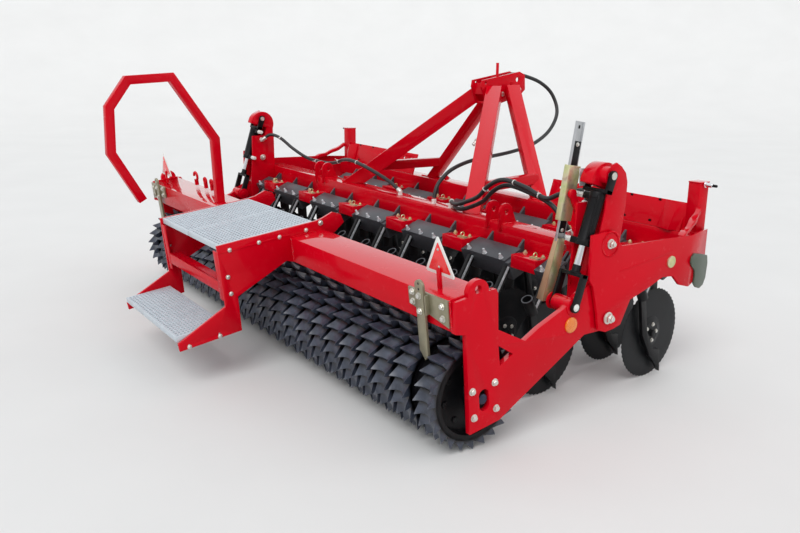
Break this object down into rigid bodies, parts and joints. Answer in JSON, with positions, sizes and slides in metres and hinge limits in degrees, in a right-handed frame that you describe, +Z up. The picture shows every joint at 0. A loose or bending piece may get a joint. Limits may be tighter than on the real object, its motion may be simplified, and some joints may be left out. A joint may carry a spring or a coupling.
{
  "type": "seed drill",
  "caption": "mounted disc seed drill with two ranks of disc coulters, ring roller on a hydraulic hinged frame, loading platform and three-point headstock",
  "frame": {"origin": "middle of the machine's plan box, on the ground", "axes": "X right, Y travel direction, Z up"},
  "size_m": [3.016, 2.3877, 1.315],
  "materials": {
    "red_paint": "gloss",
    "zinc": "yellow zinc plated",
    "grey_cover": "satin",
    "black_steel": "satin",
    "chrome": "polished",
    "black_rubber": "satin",
    "white_plastic": "matte",
    "steel": "plated",
    "galvanised": "galvanised",
    "reflector": "reflective",
    "aluminium": "mill"
  },
  "bodies": {
    "main_frame": {"main_beams": "red_paint", "side_uprights": "red_paint", "side_plates": "red_paint", "corner_posts": "red_paint", "side_hooks": "zinc", "hopper_plates": "red_paint", "headstock_struts": "red_paint", "headstock_braces": "red_paint", "apex_head": "red_paint", "lower_link_brackets": "red_paint", "beam_lugs": "red_paint", "hanger_boxes": "red_paint", "torsion_housings": "grey_cover", "rear_coulter_arms": "black_steel", "front_coulter_arms": "black_steel", "seed_boots": "black_steel", "cylinder_hoses": "black_rubber", "supply_hose": "black_rubber", "hose_coupler": "steel", "port_fittings": "white_plastic"},
    "roller_frame": {"roller_beam": "red_paint", "roller_arms": "red_paint", "foot_pins": "steel", "roller_bearings": "black_steel", "end_brackets": "zinc", "platform_frame": "red_paint", "platform_deck": "galvanised", "handrail": "red_paint", "warning_boards": "reflector"},
    "roller": {"roller": "black_steel"},
    "barrel_right": {"barrel_right": "black_steel"},
    "barrel_left": {"barrel_left": "black_steel"},
    "rod_right": {"rod_right": "chrome"},
    "rod_left": {"rod_left": "chrome"},
    "gauge_sleeve": {"gauge_sleeve": "zinc"},
    "gauge_bar": {"gauge_bar": "aluminium"},
    "rear_disc_01": {"rear_disc_01": "black_steel"},
    "rear_disc_02": {"rear_disc_02": "black_steel"},
    "rear_disc_03": {"rear_disc_03": "black_steel"},
    "rear_disc_04": {"rear_disc_04": "black_steel"},
    "rear_disc_05": {"rear_disc_05": "black_steel"},
    "rear_disc_06": {"rear_disc_06": "black_steel"},
    "rear_disc_07": {"rear_disc_07": "black_steel"},
    "rear_disc_08": {"rear_disc_08": "black_steel"},
    "rear_disc_09": {"rear_disc_09": "black_steel"},
    "rear_disc_10": {"rear_disc_10": "black_steel"},
    "rear_disc_11": {"rear_disc_11": "black_steel"},
    "rear_disc_12": {"rear_disc_12": "black_steel"},
    "front_disc_01": {"front_disc_01": "black_steel"},
    "front_disc_02": {"front_disc_02": "black_steel"},
    "front_disc_03": {"front_disc_03": "black_steel"},
    "front_disc_04": {"front_disc_04": "black_steel"},
    "front_disc_05": {"front_disc_05": "black_steel"},
    "front_disc_06": {"front_disc_06": "black_steel"},
    "front_disc_07": {"front_disc_07": "black_steel"},
    "front_disc_08": {"front_disc_08": "black_steel"},
    "front_disc_09": {"front_disc_09": "black_steel"},
    "front_disc_10": {"front_disc_10": "black_steel"},
    "front_disc_11": {"front_disc_11": "black_steel"},
    "front_disc_12": {"front_disc_12": "black_steel"}
  },
  "joints": [
    {"name": "roller_lift", "type": "hinge", "parent": "main_frame", "child": "roller_frame", "pos_m": [0, 0.179, 0.405], "axis": [1, 0, 0], "range_deg": [-6, 18]},
    {"name": "roller_turn", "type": "hinge", "parent": "roller_frame", "child": "roller", "pos_m": [0, -0.409, 0.21], "axis": [1, 0, 0], "continuous": true},
    {"name": "barrel_swing_right", "type": "hinge", "parent": "main_frame", "child": "barrel_right", "pos_m": [1.443, 0.161, 0.946], "axis": [1, 0, 0], "range_deg": [-0.4, 0.6]},
    {"name": "rod_slide_right", "type": "slide", "parent": "barrel_right", "child": "rod_right", "axis": [0, -0.3126, -0.9499], "range_m": [-0.025, 0.065]},
    {"name": "barrel_swing_left", "type": "hinge", "parent": "main_frame", "child": "barrel_left", "pos_m": [-1.443, 0.161, 0.946], "axis": [1, 0, 0], "range_deg": [-0.4, 0.6]},
    {"name": "rod_slide_left", "type": "slide", "parent": "barrel_left", "child": "rod_left", "axis": [0, -0.3126, -0.9499], "range_m": [-0.025, 0.065]},
    {"name": "gauge_swing", "type": "hinge", "parent": "main_frame", "child": "gauge_sleeve", "pos_m": [1.362, 0.074, 0.873], "axis": [1, 0, 0], "range_deg": [-1.2, 0.6]},
    {"name": "gauge_slide", "type": "slide", "parent": "gauge_sleeve", "child": "gauge_bar", "axis": [0, -0.1684, -0.9857], "range_m": [-0.025, 0.065]},
    {"name": "rear_disc_01_turn", "type": "hinge", "parent": "main_frame", "child": "rear_disc_01", "pos_m": [1.218, 0.141, 0.2], "axis": [0.9976, 0.0698, 0], "continuous": true},
    {"name": "rear_disc_02_turn", "type": "hinge", "parent": "main_frame", "child": "rear_disc_02", "pos_m": [0.986, 0.141, 0.2], "axis": [0.9976, 0.0698, 0], "continuous": true},
    {"name": "rear_disc_03_turn", "type": "hinge", "parent": "main_frame", "child": "rear_disc_03", "pos_m": [0.754, 0.141, 0.2], "axis": [0.9976, 0.0698, 0], "continuous": true},
    {"name": "rear_disc_04_turn", "type": "hinge", "parent": "main_frame", "child": "rear_disc_04", "pos_m": [0.522, 0.141, 0.2], "axis": [0.9976, 0.0698, 0], "continuous": true},
    {"name": "rear_disc_05_turn", "type": "hinge", "parent": "main_frame", "child": "rear_disc_05", "pos_m": [0.29, 0.141, 0.2], "axis": [0.9976, 0.0698, 0], "continuous": true},
    {"name": "rear_disc_06_turn", "type": "hinge", "parent": "main_frame", "child": "rear_disc_06", "pos_m": [0.058, 0.141, 0.2], "axis": [0.9976, 0.0698, 0], "continuous": true},
    {"name": "rear_disc_07_turn", "type": "hinge", "parent": "main_frame", "child": "rear_disc_07", "pos_m": [-0.174, 0.141, 0.2], "axis": [0.9976, 0.0698, 0], "continuous": true},
    {"name": "rear_disc_08_turn", "type": "hinge", "parent": "main_frame", "child": "rear_disc_08", "pos_m": [-0.406, 0.141, 0.2], "axis": [0.9976, 0.0698, 0], "continuous": true},
    {"name": "rear_disc_09_turn", "type": "hinge", "parent": "main_frame", "child": "rear_disc_09", "pos_m": [-0.638, 0.141, 0.2], "axis": [0.9976, 0.0698, 0], "continuous": true},
    {"name": "rear_disc_10_turn", "type": "hinge", "parent": "main_frame", "child": "rear_disc_10", "pos_m": [-0.87, 0.141, 0.2], "axis": [0.9976, 0.0698, 0], "continuous": true},
    {"name": "rear_disc_11_turn", "type": "hinge", "parent": "main_frame", "child": "rear_disc_11", "pos_m": [-1.102, 0.141, 0.2], "axis": [0.9976, 0.0698, 0], "continuous": true},
    {"name": "rear_disc_12_turn", "type": "hinge", "parent": "main_frame", "child": "rear_disc_12", "pos_m": [-1.334, 0.141, 0.2], "axis": [0.9976, 0.0698, 0], "continuous": true},
    {"name": "front_disc_01_turn", "type": "hinge", "parent": "main_frame", "child": "front_disc_01", "pos_m": [1.334, 0.664, 0.2], "axis": [0.9976, 0.0698, 0], "continuous": true},
    {"name": "front_disc_02_turn", "type": "hinge", "parent": "main_frame", "child": "front_disc_02", "pos_m": [1.102, 0.664, 0.2], "axis": [0.9976, 0.0698, 0], "continuous": true},
    {"name": "front_disc_03_turn", "type": "hinge", "parent": "main_frame", "child": "front_disc_03", "pos_m": [0.87, 0.664, 0.2], "axis": [0.9976, 0.0698, 0], "continuous": true},
    {"name": "front_disc_04_turn", "type": "hinge", "parent": "main_frame", "child": "front_disc_04", "pos_m": [0.638, 0.664, 0.2], "axis": [0.9976, 0.0698, 0], "continuous": true},
    {"name": "front_disc_05_turn", "type": "hinge", "parent": "main_frame", "child": "front_disc_05", "pos_m": [0.406, 0.664, 0.2], "axis": [0.9976, 0.0698, 0], "continuous": true},
    {"name": "front_disc_06_turn", "type": "hinge", "parent": "main_frame", "child": "front_disc_06", "pos_m": [0.174, 0.664, 0.2], "axis": [0.9976, 0.0698, 0], "continuous": true},
    {"name": "front_disc_07_turn", "type": "hinge", "parent": "main_frame", "child": "front_disc_07", "pos_m": [-0.058, 0.664, 0.2], "axis": [0.9976, 0.0698, 0], "continuous": true},
    {"name": "front_disc_08_turn", "type": "hinge", "parent": "main_frame", "child": "front_disc_08", "pos_m": [-0.29, 0.664, 0.2], "axis": [0.9976, 0.0698, 0], "continuous": true},
    {"name": "front_disc_09_turn", "type": "hinge", "parent": "main_frame", "child": "front_disc_09", "pos_m": [-0.522, 0.664, 0.2], "axis": [0.9976, 0.0698, 0], "continuous": true},
    {"name": "front_disc_10_turn", "type": "hinge", "parent": "main_frame", "child": "front_disc_10", "pos_m": [-0.754, 0.664, 0.2], "axis": [0.9976, 0.0698, 0], "continuous": true},
    {"name": "front_disc_11_turn", "type": "hinge", "parent": "main_frame", "child": "front_disc_11", "pos_m": [-0.986, 0.664, 0.2], "axis": [0.9976, 0.0698, 0], "continuous": true},
    {"name": "front_disc_12_turn", "type": "hinge", "parent": "main_frame", "child": "front_disc_12", "pos_m": [-1.218, 0.664, 0.2], "axis": [0.9976, 0.0698, 0], "continuous": true}
  ],
  "couplings": [
    {"joint": "barrel_swing_right", "follows": "roller_lift", "ratio": 0.014},
    {"joint": "rod_slide_right", "follows": "roller_lift", "m_per_rad": 0.1855},
    {"joint": "barrel_swing_left", "follows": "roller_lift", "ratio": 0.014},
    {"joint": "rod_slide_left", "follows": "roller_lift", "m_per_rad": 0.1855},
    {"joint": "gauge_swing", "follows": "roller_lift", "ratio": -0.046},
    {"joint": "gauge_slide", "follows": "roller_lift", "m_per_rad": 0.184}
  ]
}
